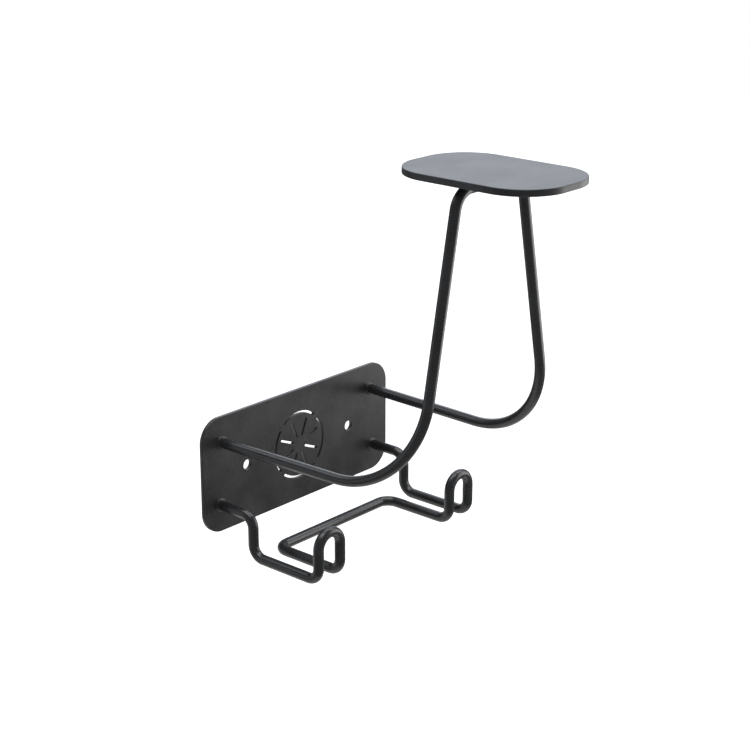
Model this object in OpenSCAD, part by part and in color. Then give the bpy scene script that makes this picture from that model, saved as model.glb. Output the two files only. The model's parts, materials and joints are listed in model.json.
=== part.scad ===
// Bicycle wall rack: a screwed-on wall plate that carries two arms for the
// bicycle's top tube, a small shelf over the arms for a helmet, and a bent-bar
// pair of hooks under the arms for straps, locks and shoes.
//
// Frame: the origin is the centre of the plate's back face, which lies on the
// wall. +Z is up, +X is along the wall, and the rack stands out along -Y.
// Left and right are those of a person who faces the wall. Millimetres.

/* [Wall plate] */
// Width of the plate along the wall
plate_w = 271; // [250:1:340]
// Height of the plate
plate_h = 120; // [100:1:160]
// Thickness of the plate
plate_t = 4; // [3:0.5:8]
// Radius of the plate's four corners
plate_corner_r = 24; // [5:1:35]

/* [Screw holes] */
// Distance between the two screw holes
screw_spacing = 150; // [100:1:180]
// Diameter of a screw hole
screw_hole_d = 10.5; // [5:0.5:12]

/* [Wheel cut through the plate] */
// Outer diameter of the cut wheel
wheel_d = 72; // [50:1:84]
// Width of the slots that draw the wheel
slot_w = 2.4; // [1.5:0.1:4]
// Metal left between one rim slot and the next
rim_bridge = 7; // [4:0.5:12]
// Number of rim slots
rim_slots = 4; // [3:1:6]
// Number of spoke slots
spoke_slots = 8; // [4:1:12]
// Radius of the solid hub inside the spoke slots
hub_r = 9; // [7:0.5:12]
// Metal left between the spoke slots and the rim slots
spoke_gap = 5; // [3:0.5:8]

/* [Round bar] */
// Diameter of the round bar of the arms and the hooks
bar_d = 10.5; // [8:0.5:12]

/* [Arms] */
// Distance between the two arms at the plate, centre to centre
arm_spacing = 218; // [190:1:230]
// Height of the arms above the plate's centre, at the plate
arm_z = 33; // [26:1:42]
// Distance from the wall to the corner where an arm's line meets its leg's line
arm_reach = 244; // [190:1:300]
// Centreline radius of the large bend between an arm and its leg
arm_bend_r = 95; // [60:1:110]
// Angle by which each arm turns in towards the other
arm_toe_in = 2; // [0:0.5:4]
// Height of the cross bar under the shelf above the arms' corners
leg_h = 277; // [220:1:330]
// Angle by which each leg leans in towards the other
leg_splay = 11.1; // [5:0.1:13]
// Centreline radius of the two bends under the shelf
top_bend_r = 21; // [14:1:26]

/* [Shelf] */
// Length of the shelf, out from the wall
shelf_l = 169; // [130:1:200]
// Width of the shelf, along the wall
shelf_w = 113; // [98:1:160]
// Thickness of the shelf
shelf_t = 6.5; // [3:0.5:8]
// Radius of the shelf's four corners
shelf_corner_r = 46; // [30:1:48]
// How far the shelf's centre lies beyond the cross bar, out from the wall
shelf_offset = 3.5; // [0:0.5:15]

/* [Hooks] */
// Distance between the outer strands of the two hooks, centre to centre
hook_spacing = 226; // [190:1:230]
// Height of the hook bar's roots below the plate's centre
hook_root_drop = 31.5; // [26:0.5:42]
// Distance from the wall to the bar that drops down from each root
hook_neck_y = 49; // [40:1:60]
// Distance from the wall to the bar that joins the two hooks
hook_cross_y = 51.5; // [40:0.5:60]
// Distance from the wall to the upright loop at the front of each hook
hook_front_y = 136; // [110:1:170]
// Height by which the hook's floor lies below the roots
hook_drop = 42; // [34:1:60]
// Height of the top of the loop's centreline above the hook's floor
loop_h = 46; // [40:1:60]
// Centreline radius of the loop's round top
loop_r = 15; // [13:0.5:20]
// Centreline radius of the small bends in the hook bar
hook_bend_r = 13; // [10:0.5:16]

/* [Weld beads] */
// Leg length of the fillet welds round the roots
root_weld = 2.5; // [1:0.5:4]
// Leg length of the fillet welds under the shelf
shelf_weld = 3; // [1:0.5:4]
// Share of the straight cross bar that the shelf's welds run along
weld_share = 0.8; // [0.3:0.05:0.95]

/* [Hidden] */
$fn = 64;

// Finish shown here: satin black powder coat, a little lighter on the flats
plate_colour = "#3a3b3d";
bar_colour = "#252628";
shelf_colour = "#8f9399";
weld_colour = "#2e2f31";

bar_r = bar_d / 2;
// Cutting tools reach this far past what they cut
overcut = 1;
// Bends are drawn this much fuller than the straights, which run on into them
// by bend_lap, so that the lengths join into one solid bar
bend_fullness = 0.06;
bend_lap = 0.2;
mirrored = [-1, 1, 1];

// Arm path: the root on the plate's front face, the corner, and the top corner
arm_root = [arm_spacing / 2, -plate_t, arm_z];
arm_run = arm_reach - plate_t;
arm_corner = arm_root + arm_run * [-tan(arm_toe_in), -1, 0];
arm_top = arm_corner + leg_h * [-tan(leg_splay), 0, 1];
arm_dir = (arm_corner - arm_root) / norm(arm_corner - arm_root);
// The bar is drawn from inside the plate and cut off flush with its front face
arm_start = arm_root - arm_dir * bar_d;

// Shelf: it rests on the top of the cross bar
shelf_y = arm_top.y - shelf_offset;
shelf_bottom_z = arm_top.z + bar_r;
top_turn = 90 - leg_splay;
cross_straight = 2 * (arm_top.x - top_bend_r * tan(top_turn / 2));

// Hook path, one half: root, neck, floor, loop, floor, cross bar
hook_x = hook_spacing / 2;
inner_x = hook_x - 2 * loop_r;
hook_z = -hook_root_drop;
floor_z = hook_z - hook_drop;
loop_z = floor_z + loop_h;

// ---- Bent bar ----------------------------------------------------------------

function unit(v) = v / norm(v);
function reversed(list) = [for (i = [len(list) - 1 : -1 : 0]) list[i]];

// Direction of the straight that leaves corner i
function heading(pts, i) = unit(pts[i + 1] - pts[i]);
// Angle that the bar turns through at corner i
function turn(pts, i) = acos(heading(pts, i - 1) * heading(pts, i));
// True where the bar bends at corner i, and false at its two ends
function bends(pts, i) = i > 0 && i < len(pts) - 1;
// Length that the bend at corner i takes off each straight beside it
function setback(pts, radii, i) = bends(pts, i) ? radii[i - 1] * tan(turn(pts, i) / 2) : 0;
// Length by which a straight runs on into the bend at corner i
function run_on(pts, i) = bends(pts, i) ? bend_lap : 0;

// Stands its children, drawn along +Z, at a point and along a direction
module along(place, dir) {
    translate(place)
        rotate([0, acos(dir.z), atan2(dir.y, dir.x)])
            children();
}

// Straight length of bar that leaves corner i
module straight(pts, radii, i) {
    dir = heading(pts, i);
    before = setback(pts, radii, i);
    length = norm(pts[i + 1] - pts[i]) - before - setback(pts, radii, i + 1);
    if (length > bend_lap)
        along(pts[i] + dir * (before - run_on(pts, i)), dir)
            cylinder(h = length + run_on(pts, i) + run_on(pts, i + 1), d = bar_d);
}

// Bend at corner i: a part of a torus from one straight round to the next
module bend(pts, radii, i) {
    radius = radii[i - 1];
    dir = heading(pts, i - 1);
    next = heading(pts, i);
    side = unit(next - (next * dir) * dir);
    axis = cross(dir, side);
    centre = pts[i] - dir * setback(pts, radii, i) + side * radius;
    multmatrix([[-side.x, dir.x, axis.x, centre.x],
                [-side.y, dir.y, axis.y, centre.y],
                [-side.z, dir.z, axis.z, centre.z],
                [0, 0, 0, 1]])
        rotate_extrude(angle = turn(pts, i))
            translate([radius, 0])
                circle(d = bar_d + bend_fullness);
}

// Round bar along a chain of corners, with one bend radius for each inner corner
module bent_bar(pts, radii) {
    for (i = [0 : len(pts) - 2])
        straight(pts, radii, i);
    for (i = [1 : len(pts) - 2])
        bend(pts, radii, i);
}

// The same, for a bar whose other half is its mirror image across X = 0
module mirrored_bar(half, radii) {
    other = [for (p = reversed(half)) [p.x * mirrored.x, p.y * mirrored.y, p.z * mirrored.z]];
    bent_bar(concat(half, other), concat(radii, reversed(radii)));
}

// ---- Outlines ----------------------------------------------------------------

// Rectangle with round corners, centred
module round_rect(w, h, r) {
    square([w - 2 * r, h], center = true);
    square([w, h - 2 * r], center = true);
    for (x = [-1, 1], y = [-1, 1])
        translate([x * (w / 2 - r), y * (h / 2 - r)])
            circle(r = r);
}

// Rim slots of the wheel: a ring with bridges left in it
module rim_outline() {
    difference() {
        circle(d = wheel_d);
        circle(d = wheel_d - 2 * slot_w);
        for (i = [0 : rim_slots - 1])
            rotate(45 + i * 360 / rim_slots)
                translate([wheel_d / 4, -rim_bridge / 2])
                    square([wheel_d / 2, rim_bridge]);
    }
}

// Spoke slots of the wheel, with round ends
module spoke_outlines() {
    outer = wheel_d / 2 - slot_w - spoke_gap - slot_w / 2;
    inner = hub_r + slot_w / 2;
    for (i = [0 : spoke_slots - 1])
        rotate((i + 0.5) * 360 / spoke_slots) {
            translate([inner, -slot_w / 2]) square([outer - inner, slot_w]);
            translate([inner, 0]) circle(d = slot_w);
            translate([outer, 0]) circle(d = slot_w);
        }
}

// ---- Parts -------------------------------------------------------------------

// Laser-cut plate that is screwed to the wall
module wall_plate() {
    color(plate_colour)
        difference() {
            rotate([90, 0, 0])
                linear_extrude(plate_t)
                    difference() {
                        round_rect(plate_w, plate_h, plate_corner_r);
                        rim_outline();
                        spoke_outlines();
                    }
            for (x = [-1, 1])
                translate([x * screw_spacing / 2, overcut, 0])
                    rotate([90, 0, 0])
                        cylinder(h = plate_t + 2 * overcut, d = screw_hole_d);
        }
}

// One bar: left arm, left leg, cross bar under the shelf, right leg, right arm
module arm_rod() {
    color(bar_colour)
        difference() {
            mirrored_bar([arm_start, arm_corner, arm_top], [arm_bend_r, top_bend_r]);
            translate([-plate_w, -plate_t, -plate_h])
                cube([2 * plate_w, plate_t + bar_d, 2 * plate_h]);
        }
}

// Flat shelf with large round corners, welded on the cross bar
module helmet_shelf() {
    color(shelf_colour)
        translate([0, shelf_y, shelf_bottom_z])
            linear_extrude(shelf_t)
                round_rect(shelf_w, shelf_l, shelf_corner_r);
}

// One bar: right hook, cross bar near the wall, left hook
module hook_rod() {
    color(bar_colour)
        mirrored_bar([[hook_x, -plate_t, hook_z],
                      [hook_x, -hook_neck_y, hook_z],
                      [hook_x, -hook_neck_y, floor_z],
                      [hook_x, -hook_front_y, floor_z],
                      [hook_x, -hook_front_y, loop_z],
                      [inner_x, -hook_front_y, loop_z],
                      [inner_x, -hook_front_y, floor_z],
                      [inner_x, -hook_cross_y, floor_z]],
                     [hook_bend_r, hook_bend_r, hook_bend_r, loop_r, loop_r,
                      hook_bend_r, hook_bend_r]);
}

// Fillet weld round a bar's root, on the plate's front face
module root_bead(root, dir) {
    color(weld_colour)
        difference() {
            along(root, [0, -1, 0])
                cylinder(h = root_weld, r1 = bar_r + root_weld, r2 = bar_r + root_weld / 4);
            along(root - dir * bar_d, dir)
                cylinder(h = 3 * bar_d, d = bar_d);
        }
}

// Fillet weld along one side of the cross bar, in the corner under the shelf
module shelf_bead(side) {
    run = cross_straight * weld_share;
    reach = bar_r + shelf_weld;
    color(weld_colour)
        translate([-run / 2, arm_top.y, arm_top.z])
            rotate([90, 0, 90])
                linear_extrude(run)
                    difference() {
                        polygon([[0, bar_r], [side * reach, bar_r], [side * bar_r * cos(30), bar_r * sin(30)], [0, 0]]);
                        circle(d = bar_d);
                    }
}

module weld_arm_left() { root_bead([-arm_root.x, arm_root.y, arm_root.z], [-arm_dir.x, arm_dir.y, arm_dir.z]); }
module weld_arm_right() { root_bead(arm_root, arm_dir); }
module weld_hook_left() { root_bead([-hook_x, -plate_t, hook_z], [0, -1, 0]); }
module weld_hook_right() { root_bead([hook_x, -plate_t, hook_z], [0, -1, 0]); }
module weld_shelf_front() { shelf_bead(-1); }
module weld_shelf_back() { shelf_bead(1); }

wall_plate();
arm_rod();
helmet_shelf();
hook_rod();
weld_arm_left();
weld_arm_right();
weld_hook_left();
weld_hook_right();
weld_shelf_front();
weld_shelf_back();
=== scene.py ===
# %% [markdown]
# # A bicycle wall rack in powder-coated steel
#
# The rack is one weldment: a laser-cut wall plate, a long round bar bent into
# two arms and two legs, a shelf for a helmet on top of them, and a second bar
# bent into a pair of hooks. The whole rack is sprayed with one satin black
# powder coat, so the looks depend on three things: true bends, softly rounded
# edges, and a coat whose sheen and grain are at the right scale.
#
# The CAD model fixes every size and place. This script only builds finer
# meshes round it, and gives them their finish.

import json
import math

import bmesh
import bpy
from mathutils import Matrix, Vector


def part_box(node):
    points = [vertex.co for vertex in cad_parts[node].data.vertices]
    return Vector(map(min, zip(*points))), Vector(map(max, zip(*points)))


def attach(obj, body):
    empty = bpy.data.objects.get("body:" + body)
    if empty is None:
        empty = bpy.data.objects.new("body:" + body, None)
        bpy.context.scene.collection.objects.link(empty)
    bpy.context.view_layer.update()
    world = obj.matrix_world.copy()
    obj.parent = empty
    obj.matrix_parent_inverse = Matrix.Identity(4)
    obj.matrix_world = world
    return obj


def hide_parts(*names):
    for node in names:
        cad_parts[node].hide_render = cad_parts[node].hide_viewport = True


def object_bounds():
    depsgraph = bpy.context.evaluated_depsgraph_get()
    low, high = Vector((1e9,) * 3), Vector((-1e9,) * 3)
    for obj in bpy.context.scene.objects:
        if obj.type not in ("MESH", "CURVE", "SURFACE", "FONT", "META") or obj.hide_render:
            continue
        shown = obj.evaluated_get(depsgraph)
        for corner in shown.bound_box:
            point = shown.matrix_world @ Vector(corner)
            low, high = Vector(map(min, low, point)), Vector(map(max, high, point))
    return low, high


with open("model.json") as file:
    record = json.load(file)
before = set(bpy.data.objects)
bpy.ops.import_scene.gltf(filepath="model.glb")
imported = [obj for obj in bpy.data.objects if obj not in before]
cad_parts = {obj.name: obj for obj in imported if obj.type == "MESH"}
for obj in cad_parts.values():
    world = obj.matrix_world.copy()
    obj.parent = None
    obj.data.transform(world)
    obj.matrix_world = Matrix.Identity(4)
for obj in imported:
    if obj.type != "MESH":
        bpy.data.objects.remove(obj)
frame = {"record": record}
cad_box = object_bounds()
print("CAD box in metres:", [tuple(round(v, 4) for v in corner) for corner in cad_box])

# %% [markdown]
# ## Sizes
#
# Places are read from the frame: a weld bead is centred on the root of its
# bar, so its box says where the bar starts. A bent bar then needs only its
# corners and the radius of each bend, as a bending machine does. Those few
# numbers are named once, in millimetres, and turned to metres by MM.

# %% Named sizes and places
MM = 0.001
BAR_R = 5.25 * MM
BURIED = 1 * MM  # the end of a bar is hidden this deep inside the plate


def middle(node):
    """Centre of a CAD node's box."""
    low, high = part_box(node)
    return (low + high) / 2


plate_low, plate_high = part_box("wall_plate")
shelf_low, shelf_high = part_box("helmet_shelf")
hook_low, hook_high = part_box("hook_rod")
front_y = plate_low.y
arm_root = middle("weld_arm_right")
hook_root = middle("weld_hook_right")
leg_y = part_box("weld_shelf_front")[1].y
cross_z = shelf_low.z - BAR_R

TOE_IN = math.radians(2)
LEG_SPLAY = math.radians(11.1)
ARM_BEND_R = 95 * MM
TOP_BEND_R = 21 * MM
HOOK_BEND_R = 13 * MM
LOOP_R = 15 * MM
NECK_Y = -49 * MM
HOOK_CROSS_Y = -51.5 * MM
print("arm root", tuple(arm_root), "hook root", tuple(hook_root))

# %% [markdown]
# ## Small helpers
#
# Materials and Geometry Nodes are both node trees. One small function adds a
# node, sets its properties, and fills or links its inputs, so a tree reads
# from top to bottom like a recipe. An input is given by its name, or by its
# number after the word in, and its value is a plain value or another node's
# output. Two more turn a hex colour to linear light and link a new object.


# %% Helpers: nodes, colours and objects
def add_node(tree, kind, settings=None, **inputs):
    """Adds a node, sets its properties, and sets or links its inputs by name or number."""
    node = tree.nodes.new(kind)
    for name, value in (settings or {}).items():
        setattr(node, name, value)
    for name, value in inputs.items():
        numbered = name.startswith("in") and name[2:].isdigit()
        socket = node.inputs[int(name[2:]) if numbered else name.replace("_", " ")]
        if isinstance(value, bpy.types.NodeSocket):
            tree.links.new(value, socket)
        else:
            socket.default_value = value
    return node


def srgb(code):
    """Turns an sRGB hex colour such as "#1b1c1e" into linear red, green, blue, alpha."""
    parts = [int(code[i : i + 2], 16) / 255 for i in (1, 3, 5)]
    linear = [p / 12.92 if p <= 0.04045 else ((p + 0.055) / 1.055) ** 2.4 for p in parts]
    return (*linear, 1.0)


def new_object(name, data):
    """Makes an object from a mesh, curve, lamp or camera, and links it to the scene."""
    item = bpy.data.objects.new(name, data)
    bpy.context.scene.collection.objects.link(item)
    return item


print("satin black in linear light:", [round(v, 4) for v in srgb("#1b1c1e")])

# %% [markdown]
# ## The finish: satin black powder coat
#
# Powder coat is dry polyester powder that is sprayed on, then melted in an
# oven into a skin about 0.08 mm thick. It never flows quite flat, so it keeps
# a fine pebbled skin, called orange peel, about half a millimetre across. That
# breaks up each reflection and gives the grey, slightly cloudy sheen of the
# flats. On a thin round bar the skin is stretched over a tight curve and
# looks a little glossier. It is a plastic film, so the IOR is that of
# polyester, about 1.5, and metallic stays at 0.
#
# It could be one flat colour with a roughness, but then the plate would look
# like moulded plastic. Three layers are used here: broad clouds and fine specks,
# both in the colour and the roughness, and the pebbled skin as a bump.


# %% Material: powder coat
CLOUD_MM = 38
SPECK_MM = 1.6  # real grains are under 0.1 mm, and these are drawn coarser so that they show
PEBBLE_MM = 1.6  # a real pebble is about 0.5 mm across, and it is drawn coarser so that it shows
SHARE_LOW, SHARE_HIGH = 0.38, 0.62  # the part of the noise that the colour and the gloss span
GLOSSIER, DULLER = -0.03, 0.04  # what the noise adds to the roughness at either end


def powder_coat(name, colour, light_colour, roughness, skin_mm):
    """Satin black polyester powder coat on steel, with a pebbled skin raised by skin_mm."""
    material = bpy.data.materials.new(name)
    material.use_nodes = True
    tree = material.node_tree
    tree.nodes.clear()
    place = add_node(tree, "ShaderNodeTexCoord").outputs["Object"]

    # Broad clouds: the gun lays the powder a little thicker here and there.
    clouds = add_node(
        tree, "ShaderNodeTexNoise",
        Vector=place, Scale=1 / (CLOUD_MM * MM), Detail=3.0, Roughness=0.6,
    )
    # Fine specks: single grains that stand up and catch the light.
    specks = add_node(
        tree, "ShaderNodeTexNoise",
        Vector=place, Scale=1 / (SPECK_MM * MM), Detail=4.0, Roughness=0.7,
    )
    blend = add_node(
        tree, "ShaderNodeMath", {"operation": "ADD"},
        in0=specks.outputs["Fac"], in1=clouds.outputs["Fac"],
    )
    # Half of the sum stays near 0.5, so the colour ramp spans only its middle.
    share = add_node(tree, "ShaderNodeMath", {"operation": "MULTIPLY"}, in0=blend.outputs[0], in1=0.5)
    tint = add_node(tree, "ShaderNodeValToRGB", Fac=share.outputs[0])
    tint.color_ramp.elements[0].position = SHARE_LOW
    tint.color_ramp.elements[0].color = srgb(colour)
    tint.color_ramp.elements[1].position = SHARE_HIGH
    tint.color_ramp.elements[1].color = srgb(light_colour)
    # Where the film is thin it melts a little flatter, so its gloss varies too.
    gloss = add_node(
        tree, "ShaderNodeMapRange", Value=share.outputs[0],
        From_Min=SHARE_LOW, From_Max=SHARE_HIGH, To_Min=roughness + GLOSSIER, To_Max=roughness + DULLER,
    )
    # The pebbled skin: rounded cells, roughened by the specks.
    pebbles = add_node(
        tree, "ShaderNodeTexVoronoi", {"feature": "SMOOTH_F1"},
        Vector=place, Scale=1 / (PEBBLE_MM * MM), Smoothness=1.0,
    )
    skin = add_node(
        tree, "ShaderNodeMath", {"operation": "MULTIPLY_ADD"},
        in0=specks.outputs["Fac"], in1=0.6, in2=pebbles.outputs["Distance"],
    )
    bump = add_node(
        tree, "ShaderNodeBump", {}, Strength=0.5, Distance=skin_mm * MM, Height=skin.outputs[0],
    )
    shader = add_node(
        tree, "ShaderNodeBsdfPrincipled", {},
        Base_Color=tint.outputs["Color"], Roughness=gloss.outputs["Result"], IOR=1.5,
        Metallic=0.0, Normal=bump.outputs["Normal"],
    )
    add_node(tree, "ShaderNodeOutputMaterial", {}, Surface=shader.outputs["BSDF"])
    return material


# Flat sheet shows the coat's clouds and pebbles best.
plate_coat = powder_coat("powder_coated_steel_plate", "#121214", "#2b2b2d", 0.40, skin_mm=0.18)
# The shelf has the same coat with a shallower skin. Its colour is a touch bluer as a painted reflection of
# the cool lamps that its top faces.
shelf_coat_painted_cool_sheen = powder_coat("powder_coated_steel_shelf", "#15161a", "#282a2e", 0.40, skin_mm=0.14)
# A bar's tight curve stretches the skin almost smooth, so it shows clear streaks of light.
bar_coat = powder_coat("powder_coated_steel_bar", "#1b1b1c", "#27282a", 0.27, skin_mm=0.015)
# The coat pools between the ripples of a weld, so it is duller than on a bar. Its colour is darker too, as
# painted shade for the corners where the bars meet the plate and the shelf.
weld_coat_painted_shade = powder_coat("powder_coated_weld", "#111112", "#202021", 0.32, skin_mm=0.05)
print("materials:", [m.name for m in bpy.data.materials if m.name.startswith("powder")])

# %% [markdown]
# ## Finishing a piece
#
# Each finished piece is a plain mesh at the origin, so its Object coordinates
# are the rack's own. It rides on the one body of the rack and stands for the
# CAD nodes that it replaces. Its powder coat is set where the piece is built.


# %% Helper: finish a piece
def finish_piece(piece, *nodes):
    """Puts a finished mesh on the rack's body, in place of its CAD nodes."""
    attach(piece, "root")
    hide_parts(*nodes)
    low = [round(min(v.co[i] for v in piece.data.vertices) / MM, 1) for i in range(3)]
    high = [round(max(v.co[i] for v in piece.data.vertices) / MM, 1) for i in range(3)]
    print(piece.name, "mm", low, high, "faces", len(piece.data.polygons))


def baked(source, name):
    """Evaluates an object with its modifiers into a plain mesh object, and removes the source."""
    bpy.context.view_layer.update()
    evaluated = source.evaluated_get(bpy.context.evaluated_depsgraph_get())
    mesh = bpy.data.meshes.new_from_object(evaluated)
    bpy.data.objects.remove(source)
    mesh.name = name
    return new_object(name, mesh)


# %% [markdown]
# ## Bent bars
#
# A wire bender knows a bar as a chain of corners with a bend radius at each.
# The same chain makes the mesh: its corners are the vertices of a small mesh,
# the radii are an attribute on them, and a Geometry Nodes tree rounds each
# corner to a true arc, then runs a circle along the path.
#
# A curve object with a bevel would do nearly the same, but its corners would
# have to be rounded by hand. Fillet Curve gives exact arcs from the radii, so
# every bend keeps the former that it was bent on.


# %% Geometry Nodes tree: bent bar
def bent_bar_tree():
    """Tree that turns a chain of corners into a round bar with true bends."""
    tree = bpy.data.node_groups.new("bent_bar", "GeometryNodeTree")
    tree.interface.new_socket("Geometry", in_out="INPUT", socket_type="NodeSocketGeometry")
    radius = tree.interface.new_socket("Bar radius", in_out="INPUT", socket_type="NodeSocketFloat")
    sides = tree.interface.new_socket("Sides", in_out="INPUT", socket_type="NodeSocketInt")
    coat = tree.interface.new_socket("Finish", in_out="INPUT", socket_type="NodeSocketMaterial")
    tree.interface.new_socket("Geometry", in_out="OUTPUT", socket_type="NodeSocketGeometry")
    start = add_node(tree, "NodeGroupInput")
    chain = add_node(tree, "GeometryNodeMeshToCurve", Mesh=start.outputs["Geometry"])
    bend_r = add_node(tree, "GeometryNodeInputNamedAttribute", {"data_type": "FLOAT"}, Name="bend_radius")
    steps = add_node(tree, "GeometryNodeInputNamedAttribute", {"data_type": "INT"}, Name="bend_steps")
    path = add_node(
        tree, "GeometryNodeFilletCurve", {"mode": "POLY"},
        Curve=chain.outputs["Curve"], Radius=bend_r.outputs["Attribute"], Count=steps.outputs["Attribute"],
    )
    ring = add_node(
        tree, "GeometryNodeCurvePrimitiveCircle", {"mode": "RADIUS"},
        Resolution=start.outputs["Sides"], Radius=start.outputs["Bar radius"],
    )
    tube = add_node(
        tree, "GeometryNodeCurveToMesh", {}, Curve=path.outputs["Curve"],
        Profile_Curve=ring.outputs["Curve"], Fill_Caps=True,
    )
    smooth = add_node(tree, "GeometryNodeSetShadeSmooth", {}, Geometry=tube.outputs["Mesh"])
    whole = add_node(tree, "GeometryNodeRealizeInstances", {}, Geometry=smooth.outputs["Geometry"])
    coated = add_node(
        tree, "GeometryNodeSetMaterial", {},
        Geometry=whole.outputs["Geometry"], Material=start.outputs["Finish"],
    )
    add_node(tree, "NodeGroupOutput", {}, Geometry=coated.outputs["Geometry"])
    return tree, {"radius": radius.identifier, "sides": sides.identifier, "coat": coat.identifier}


BENT_BAR, BAR_INPUT = bent_bar_tree()
BAR_SIDES = 56
BEND_STEP = 1.6 * MM  # length of bar between two rings of a right-angled bend


# %% Helper: bend a bar
def bent_bar(name, half, radii):
    """Bar along a chain of corners and its mirror image, with a bend radius for each inner corner."""
    other = [Vector((-p.x, p.y, p.z)) for p in reversed(half)]
    corners = half + other
    all_radii = [0.0, *radii, *reversed(radii), 0.0]
    mesh = bpy.data.meshes.new(name + "_path")
    mesh.from_pydata(corners, [(i, i + 1) for i in range(len(corners) - 1)], [])
    bend_radius = mesh.attributes.new("bend_radius", "FLOAT", "POINT")
    bend_steps = mesh.attributes.new("bend_steps", "INT", "POINT")
    for i, radius in enumerate(all_radii):
        bend_radius.data[i].value = radius
        bend_steps.data[i].value = max(1, round(radius * math.pi / 2 / BEND_STEP))
    source = new_object(name + "_path", mesh)
    modifier = source.modifiers.new("bar", "NODES")
    modifier.node_group = BENT_BAR
    modifier[BAR_INPUT["radius"]] = BAR_R
    modifier[BAR_INPUT["sides"]] = BAR_SIDES
    modifier[BAR_INPUT["coat"]] = bar_coat
    return baked(source, name)


print("bend tree nodes:", len(BENT_BAR.nodes))

# %% [markdown]
# ## The arms and legs
#
# One bar makes both arms. It leaves the plate, toes in by two degrees, sweeps
# up through a large bend into a leg, and crosses under the shelf to the other
# side. The two legs lean towards each other, so a short cross bar is enough to
# carry the shelf. Only the right half is drawn, and the left is its mirror image.

# %% Arms
run = front_y - leg_y
start_x = arm_root.x + BURIED * math.tan(TOE_IN)
corner_x = arm_root.x - run * math.tan(TOE_IN)
leg_h = cross_z - arm_root.z
arms = bent_bar(
    "arm_bar",
    [
        Vector((start_x, front_y + BURIED, arm_root.z)),
        Vector((corner_x, leg_y, arm_root.z)),
        Vector((corner_x - leg_h * math.tan(LEG_SPLAY), leg_y, cross_z)),
    ],
    [ARM_BEND_R, TOP_BEND_R],
)
finish_piece(arms, "arm_rod")

# %% [markdown]
# ## The hooks
#
# The second bar drops below the plate, runs forward as the floor of a hook,
# rises in a round-topped loop that stops things sliding off, and comes back
# beside itself. A cross bar near the wall joins the two hooks, so the whole
# pair is one length of bar with only two welds.

# %% Hooks
HOOK_LOOP_BEND_R = 0.999 * LOOP_R  # a hair under half the loop, so that its two bends stay apart

hook_floor_z = hook_low.z + BAR_R
loop_z = hook_high.z - BAR_R
loop_y = hook_low.y + BAR_R
outer_x = hook_root.x
inner_x = outer_x - 2 * LOOP_R
hooks = bent_bar(
    "hook_bar",
    [
        Vector((outer_x, front_y + BURIED, hook_root.z)),
        Vector((outer_x, NECK_Y, hook_root.z)),
        Vector((outer_x, NECK_Y, hook_floor_z)),
        Vector((outer_x, loop_y, hook_floor_z)),
        Vector((outer_x, loop_y, loop_z)),
        Vector((inner_x, loop_y, loop_z)),
        Vector((inner_x, loop_y, hook_floor_z)),
        Vector((inner_x, HOOK_CROSS_Y, hook_floor_z)),
    ],
    [HOOK_BEND_R] * 3 + [HOOK_LOOP_BEND_R] * 2 + [HOOK_BEND_R] * 2,
)
finish_piece(hooks, "hook_rod")

# %% [markdown]
# ## Flat parts
#
# The plate and the shelf are cut from sheet by a laser, and the coat then
# rounds every edge by half a millimetre or a little more. A flat curve suits:
# its outlines are filled, it is given a thickness, and its bevel is the
# rounded edge. Box modelling with a Bevel modifier would need every slot to
# be cut by a Boolean first, which leaves long thin faces along the edges.
#
# The bevel swells a curve outwards, so the outline is first drawn in by the
# same amount. Holes are drawn the other way round, so that the same offset
# draws them out.


# %% Outlines
EDGE_STEP = 0.8 * MM  # length of an outline's arc between two points
SLOT_END_STEP = 0.3 * MM  # the same at the small round ends of a slot
FEWEST_STEPS = 6


def arc(centre, radius, start, end, step=EDGE_STEP):
    """Points on an arc, with the two angles in degrees."""
    count = max(FEWEST_STEPS, round(abs(math.radians(end - start)) * radius / step))
    angles = [math.radians(start + (end - start) * i / count) for i in range(count + 1)]
    return [(centre[0] + radius * math.cos(a), centre[1] + radius * math.sin(a)) for a in angles]


def round_rectangle(width, height, radius):
    """Outline of a rectangle with round corners, anticlockwise, about the origin."""
    x, y = width / 2 - radius, height / 2 - radius
    corners = [((x, y), 0), ((-x, y), 90), ((-x, -y), 180), ((x, -y), 270)]
    return [point for centre, turn in corners for point in arc(centre, radius, turn, turn + 90)]


def circle(centre, radius):
    """Outline of a round hole, clockwise."""
    return arc(centre, radius, 360, 0)[:-1]


def turned(points, degrees):
    """Outline turned about the origin."""
    c, s = math.cos(math.radians(degrees)), math.sin(math.radians(degrees))
    return [(x * c - y * s, x * s + y * c) for x, y in points]


def spoke_slot(inner, outer, width):
    """Outline of a slot with round ends along +X, clockwise."""
    half = width / 2
    far = arc((outer, 0), half, 90, -90, SLOT_END_STEP)
    near = arc((inner, 0), half, 270, 90, SLOT_END_STEP)
    return far + near


def rim_slot(outer, inner, bridge, sweep):
    """Outline of a curved slot about +X, clockwise, with a bridge of metal left beside it."""
    lean_out = sweep / 2 - math.degrees(math.asin(bridge / 2 / outer))
    lean_in = sweep / 2 - math.degrees(math.asin(bridge / 2 / inner))
    return arc((0, 0), outer, lean_out, -lean_out) + arc((0, 0), inner, -lean_in, lean_in)


# %% Helper: a flat part with rounded edges
ROUNDING_STEPS = 3  # extra rings of points round a rounded edge
SEAM_GAP = 0.001 * MM  # points closer than this are one point


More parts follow.
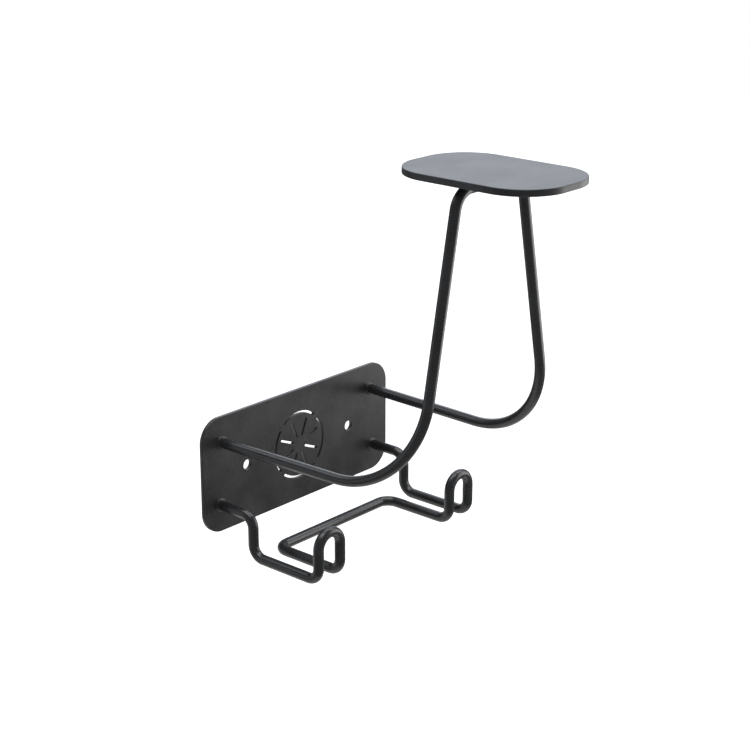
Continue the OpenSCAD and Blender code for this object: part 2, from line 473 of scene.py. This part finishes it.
def flat_part(name, outlines, thickness, edge_r, coat):
    """Sheet in the XY plane with the given outlines, from z = 0 up to its thickness."""
    curve = bpy.data.curves.new(name, "CURVE")
    curve.dimensions = "2D"
    curve.fill_mode = "BOTH"
    for points in outlines:
        spline = curve.splines.new("POLY")
        spline.points.add(len(points) - 1)
        for point, (x, y) in zip(spline.points, points):
            point.co = (x, y, 0, 1)
        spline.use_cyclic_u = True
    curve.extrude = thickness / 2 - edge_r
    curve.bevel_depth = edge_r
    curve.bevel_resolution = ROUNDING_STEPS
    curve.offset = -edge_r
    piece = baked(new_object(name + "_outline", curve), name)
    piece.data.transform(Matrix.Translation((0, 0, thickness / 2)))
    piece.data.materials.clear()
    piece.data.materials.append(coat)
    return piece


def close_mesh(piece, thin_axis):
    """Merges the seams of a sheet, turns its faces outwards, and shades all but its two flats smooth."""
    work = bmesh.new()
    work.from_mesh(piece.data)
    bmesh.ops.remove_doubles(work, verts=work.verts, dist=SEAM_GAP)
    bmesh.ops.recalc_face_normals(work, faces=work.faces)
    open_edges = sum(1 for edge in work.edges if not edge.is_manifold)
    work.to_mesh(piece.data)
    work.free()
    flat_enough = 0.99  # how squarely a face has to look along the thin axis to be one of the flats
    for face in piece.data.polygons:
        face.use_smooth = abs(face.normal[thin_axis]) < flat_enough
    print(piece.name, "open edges:", open_edges)


# %% [markdown]
# ## The wall plate
#
# The plate is 4 mm sheet with a hole for a screw near each end. A pattern is
# cut right through it between the holes: here a plain spoked wheel, drawn with
# curved slots for the rim and straight slots for the spokes. The bridges
# between the slots keep the hub from falling out. The sheet is drawn lying
# down and then stood up against the wall.

# %% Wall plate
WHEEL_D = 72 * MM
SLOT_W = 2.4 * MM
RIM_BRIDGE = 7 * MM
RIM_SLOTS = 4
SPOKE_SLOTS = 8
HUB_R = 9 * MM
SPOKE_GAP = 5 * MM
PLATE_CORNER_R = 24 * MM
EDGE_R = 0.5 * MM

screws = next(m for m in frame["record"]["mounts"] if m["name"] == "wall_screws")
screw_x = screws["dims"]["spacing_x_mm"] * MM / 2
screw_r = screws["dims"]["hole_r_mm"] * MM
plate_size = plate_high - plate_low

rim_out = WHEEL_D / 2
rim_turn = 360 / RIM_SLOTS
spoke_turn = 360 / SPOKE_SLOTS
spoke_in = HUB_R + SLOT_W / 2
spoke_out = rim_out - SLOT_W - SPOKE_GAP - SLOT_W / 2
outlines = [round_rectangle(plate_size.x, plate_size.z, PLATE_CORNER_R)]
outlines += [circle((side * screw_x, 0), screw_r) for side in (-1, 1)]
outlines += [
    turned(rim_slot(rim_out, rim_out - SLOT_W, RIM_BRIDGE, rim_turn), 90 + i * rim_turn)
    for i in range(RIM_SLOTS)
]
outlines += [
    turned(spoke_slot(spoke_in, spoke_out, SLOT_W), (i + 0.5) * spoke_turn)
    for i in range(SPOKE_SLOTS)
]
plate = flat_part("wall_plate_sheet", outlines, plate_size.y, EDGE_R, plate_coat)
plate.data.transform(Matrix.Translation((0, plate_high.y, 0)) @ Matrix.Rotation(math.radians(90), 4, "X"))
close_mesh(plate, thin_axis=1)
finish_piece(plate, "wall_plate")

# %% [markdown]
# ## The shelf
#
# The shelf is thicker sheet with corners so large that its ends are nearly
# half circles. It carries a helmet, so nothing on it may be sharp.

# %% Shelf
SHELF_CORNER_R = 46 * MM
SHELF_EDGE_R = 0.8 * MM
shelf_size = shelf_high - shelf_low
shelf_middle = middle("helmet_shelf")
shelf = flat_part(
    "helmet_shelf_sheet",
    [round_rectangle(shelf_size.x, shelf_size.y, SHELF_CORNER_R)],
    shelf_size.z, SHELF_EDGE_R, shelf_coat_painted_cool_sheen,
)
shelf.data.transform(Matrix.Translation((shelf_middle.x, shelf_middle.y, shelf_low.z)))
close_mesh(shelf, thin_axis=2)
finish_piece(shelf, "helmet_shelf")

# %% [markdown]
# ## Weld beads
#
# A fillet weld is a small bead of steel that is laid in the corner where a bar
# meets a plate. The welder moves in short steps, so the bead has ripples like
# a stack of coins, and the coat fills them a little. A plain ring would look
# like a washer.
#
# One tree makes every bead: it takes a path, sets how thick the bead is at
# each point with a wave along the path, and runs a circle along it. Part of
# the circle is inside the metal on both sides, and the rest is the fillet.


# %% Geometry Nodes tree: weld bead
BEAD_SIDES = 20
RIPPLE_PITCH = 1.9 * MM
RIPPLE_DEPTH = 0.06  # share of the bead's radius
POINTS_A_RIPPLE = 6


def weld_bead_tree():
    """Tree that runs a rippled bead along a path."""
    tree = bpy.data.node_groups.new("weld_bead", "GeometryNodeTree")
    tree.interface.new_socket("Geometry", in_out="INPUT", socket_type="NodeSocketGeometry")
    titles = {"radius": "Bead radius", "pitch": "Ripple pitch", "depth": "Ripple depth"}
    names = {}
    for key, title in titles.items():
        socket = tree.interface.new_socket(title, in_out="INPUT", socket_type="NodeSocketFloat")
        names[key] = socket.identifier
    coat = tree.interface.new_socket("Finish", in_out="INPUT", socket_type="NodeSocketMaterial")
    names["coat"] = coat.identifier
    tree.interface.new_socket("Geometry", in_out="OUTPUT", socket_type="NodeSocketGeometry")
    start = add_node(tree, "NodeGroupInput")
    chain = add_node(tree, "GeometryNodeMeshToCurve", Mesh=start.outputs["Geometry"])
    along = add_node(tree, "GeometryNodeSplineParameter")
    turns = add_node(
        tree, "ShaderNodeMath", {"operation": "DIVIDE"},
        in0=along.outputs["Length"], in1=start.outputs["Ripple pitch"],
    )
    step = add_node(tree, "ShaderNodeMath", {"operation": "FRACT"}, in0=turns.outputs[0])
    # Along each ripple the bead thins quickly at first and then slowly, and the
    # next ripple starts at full size, so the ripples lie like tipped coins.
    crest = add_node(tree, "ShaderNodeMath", {"operation": "POWER"}, in0=step.outputs[0], in1=0.5)
    fall = add_node(
        tree, "ShaderNodeMath", {"operation": "MULTIPLY"},
        in0=crest.outputs[0], in1=start.outputs["Ripple depth"],
    )
    scale = add_node(tree, "ShaderNodeMath", {"operation": "SUBTRACT"}, in0=1.0, in1=fall.outputs[0])
    ring = add_node(
        tree, "GeometryNodeCurvePrimitiveCircle", {"mode": "RADIUS"},
        Resolution=BEAD_SIDES, Radius=start.outputs["Bead radius"],
    )
    bead = add_node(
        tree, "GeometryNodeCurveToMesh", {}, Curve=chain.outputs["Curve"],
        Profile_Curve=ring.outputs["Curve"], Scale=scale.outputs[0], Fill_Caps=True,
    )
    smooth = add_node(tree, "GeometryNodeSetShadeSmooth", {}, Geometry=bead.outputs["Mesh"])
    whole = add_node(tree, "GeometryNodeRealizeInstances", {}, Geometry=smooth.outputs["Geometry"])
    coated = add_node(
        tree, "GeometryNodeSetMaterial", {},
        Geometry=whole.outputs["Geometry"], Material=start.outputs["Finish"],
    )
    add_node(tree, "NodeGroupOutput", {}, Geometry=coated.outputs["Geometry"])
    return tree, names


WELD_BEAD, BEAD_INPUT = weld_bead_tree()
print("weld tree nodes:", len(WELD_BEAD.nodes))


# %% Helper: lay a bead
def weld_bead(name, points, closed, radius, *nodes):
    """Rippled bead along a path, in place of the given CAD nodes."""
    count = len(points)
    links = [(i, (i + 1) % count) for i in range(count if closed else count - 1)]
    mesh = bpy.data.meshes.new(name + "_path")
    mesh.from_pydata(points, links, [])
    source = new_object(name + "_path", mesh)
    modifier = source.modifiers.new("bead", "NODES")
    modifier.node_group = WELD_BEAD
    modifier[BEAD_INPUT["radius"]] = radius
    modifier[BEAD_INPUT["pitch"]] = RIPPLE_PITCH
    modifier[BEAD_INPUT["depth"]] = RIPPLE_DEPTH
    modifier[BEAD_INPUT["coat"]] = weld_coat_painted_shade
    finish_piece(baked(source, name), *nodes)


# %% Root welds
ROOT_BEAD_R = 2.8 * MM
ROOT_SINK = 0.6 * MM  # the middle of the bead lies this deep inside the bar and the plate
ring_r = BAR_R - ROOT_SINK
ripples = round(2 * math.pi * ring_r / RIPPLE_PITCH)
ring_points = ripples * POINTS_A_RIPPLE
angles = [2 * math.pi * i / ring_points for i in range(ring_points)]
ring = [Vector((ring_r * math.cos(a), 0, ring_r * math.sin(a))) for a in angles]
for side, side_name in ((-1, "left"), (1, "right")):
    for kind, root in (("arm", arm_root), ("hook", hook_root)):
        centre = Vector((side * root.x, front_y + ROOT_SINK, root.z))
        points = [centre + offset for offset in ring]
        weld_bead(f"weld_{kind}_{side_name}_bead", points, True, ROOT_BEAD_R, f"weld_{kind}_{side_name}")

# %% Shelf welds
SHELF_BEAD_R = 2.2 * MM
BEAD_OUT = 0.4 * MM  # the middle of the bead lies this far out from the side of the bar
BEAD_DROP = 1.9 * MM  # and this far below the shelf
for side, side_name in ((-1, "front"), (1, "back")):
    low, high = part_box(f"weld_shelf_{side_name}")
    length = high.x - low.x
    count = round(length / RIPPLE_PITCH) * POINTS_A_RIPPLE
    y = leg_y + side * (BAR_R + BEAD_OUT)
    z = shelf_low.z - BEAD_DROP
    points = [Vector((low.x + length * i / count, y, z)) for i in range(count + 1)]
    weld_bead(f"weld_shelf_{side_name}_bead", points, False, SHELF_BEAD_R, f"weld_shelf_{side_name}")

# %% [markdown]
# ## Floor and light
#
# The stage is plain: a pale floor some way below the rack, a white room and
# soft lamps. A black satin part shows mostly what it reflects, so each lamp is
# placed for its reflection. On a straight bar a lamp shows as a streak, if it
# stands where the bar can mirror it to the eye. On a flat it shows as a sheen.
#
# Three choices keep a black part black in a white room, as screens and black
# cards do in a studio. The floor is left out of reflections, and a lamp below
# the rack lights its undersides instead. The lamps can't be seen themselves.
# The room is white to the camera and dim to everything else, with a Light Path
# node to tell the two apart.

# %% Floor
FLOOR_DROP = 0.22
FLOOR_HALF = 12.0

ground_z = cad_box[0].z - FLOOR_DROP
ground = [Vector((x * FLOOR_HALF, y * FLOOR_HALF, ground_z)) for x, y in ((-1, -1), (1, -1), (1, 1), (-1, 1))]
floor_mesh = bpy.data.meshes.new("floor")
floor_mesh.from_pydata(ground, [], [(0, 1, 2, 3)])
floor = new_object("floor", floor_mesh)
floor_paint = bpy.data.materials.new("matt_white_floor")
floor_paint.use_nodes = True
floor_shader = floor_paint.node_tree.nodes["Principled BSDF"]
floor_shader.inputs["Base Color"].default_value = srgb("#f4f4f4")
floor_shader.inputs["Roughness"].default_value = 0.9
floor_mesh.materials.append(floor_paint)
floor.visible_glossy = False
print("floor is", FLOOR_DROP, "m below the rack")

# %% Light
ROOM_SEEN = 1.1  # strength of the room to the camera, which makes it plain white
ROOM_LIGHT = 0.23  # strength of the room as a light and in reflections
CEILING_LIGHT = 2.9
CEILING_ANGLE = math.radians(60)  # so wide that its shadows melt away
COOL, NEUTRAL = "#eef5ff", "#fffdfa"

world = bpy.data.worlds.new("studio")
bpy.context.scene.world = world
world.use_nodes = True
sky = world.node_tree
sky.nodes.clear()
seen = add_node(sky, "ShaderNodeBackground", {}, Color=srgb("#ffffff"), Strength=ROOM_SEEN)
room = add_node(sky, "ShaderNodeBackground", {}, Color=srgb("#fafafa"), Strength=ROOM_LIGHT)
ray = add_node(sky, "ShaderNodeLightPath")
pick = add_node(
    sky, "ShaderNodeMixShader", {},
    in0=ray.outputs["Is Camera Ray"], in1=room.outputs[0], in2=seen.outputs[0],
)
add_node(sky, "ShaderNodeOutputWorld", {}, Surface=pick.outputs[0])

rack_middle = (cad_box[0] + cad_box[1]) / 2


def softbox(name, place, size, power, colour):
    """Square area lamp that faces the middle of the rack, unseen by the camera."""
    lamp = bpy.data.lights.new(name, "AREA")
    lamp.shape = "SQUARE"
    lamp.size = size
    lamp.energy = power
    lamp.color = srgb(colour)[:3]
    holder = new_object(name, lamp)
    holder.location = place
    holder.rotation_euler = (rack_middle - Vector(place)).to_track_quat("-Z", "Y").to_euler()
    holder.visible_camera = False


# The large lamp behind the rack gives the shelf its sheen.
softbox("behind", (2.4, 2.1, 1.35), size=2.6, power=39, colour=COOL)
# Of the two above, the right one puts a streak on the cross bar between the hooks,
# and the back one puts a streak on the arms.
softbox("right_high", (0.80, -0.30, 0.98), size=0.50, power=3.6, colour=COOL)
softbox("back_high", (-0.38, 0.58, 0.98), size=0.60, power=2.0, colour=COOL)
# One low in front gives the plate its sheen and the legs their right edge.
softbox("right_low", (0.66, -0.60, 0.16), size=0.70, power=4.9, colour=NEUTRAL)
# A weak one behind on the left lifts the left sides of the bars.
softbox("left", (-0.80, 0.55, 0.02), size=0.55, power=0.5, colour=COOL)
# One below stands in for the floor in the undersides of the bars.
softbox("bounce", (0.05, 0.02, -0.29), size=0.90, power=1.8, colour=NEUTRAL)

# A sun that isn't turned shines straight down, and lights the floor evenly.
sun = bpy.data.lights.new("ceiling", "SUN")
sun.energy = CEILING_LIGHT
sun.angle = CEILING_ANGLE
new_object("ceiling", sun)
print("lamps:", [light.name for light in bpy.data.lights])

# %% [markdown]
# ## Camera
#
# The camera looks down a little from the left of the rack, with a long lens,
# so the plate is seen from the front left and the shelf from just above.

# %% Camera
AZIMUTH = -48.672  # degrees round from straight in front, to the left
ELEVATION = 18.743
ROLL = 0.074
DISTANCE = 1.7550
AIM = Vector((0.02169, -0.08836, 0.08884))
SENSOR_MM = 36.0
LENS_MM = 84.93888

turn, lift = math.radians(AZIMUTH), math.radians(ELEVATION)
back = Vector((math.sin(turn) * math.cos(lift), -math.cos(turn) * math.cos(lift), math.sin(lift)))
right = (-back).cross(Vector((0, 0, 1))).normalized()
up = right.cross(-back)
roll = math.radians(ROLL)
right_rolled = math.cos(roll) * right + math.sin(roll) * up
up_rolled = -math.sin(roll) * right + math.cos(roll) * up
camera_data = bpy.data.cameras.new("camera")
camera_data.sensor_width = SENSOR_MM
camera_data.lens = LENS_MM
camera = new_object("camera", camera_data)
pose = Matrix((right_rolled, up_rolled, back)).transposed().to_4x4()
pose.translation = AIM + back * DISTANCE
camera.matrix_world = pose
bpy.context.scene.camera = camera
bpy.context.scene.view_settings.view_transform = "Standard"
print("camera at", tuple(round(v, 3) for v in pose.translation), "lens", round(LENS_MM, 1), "mm")
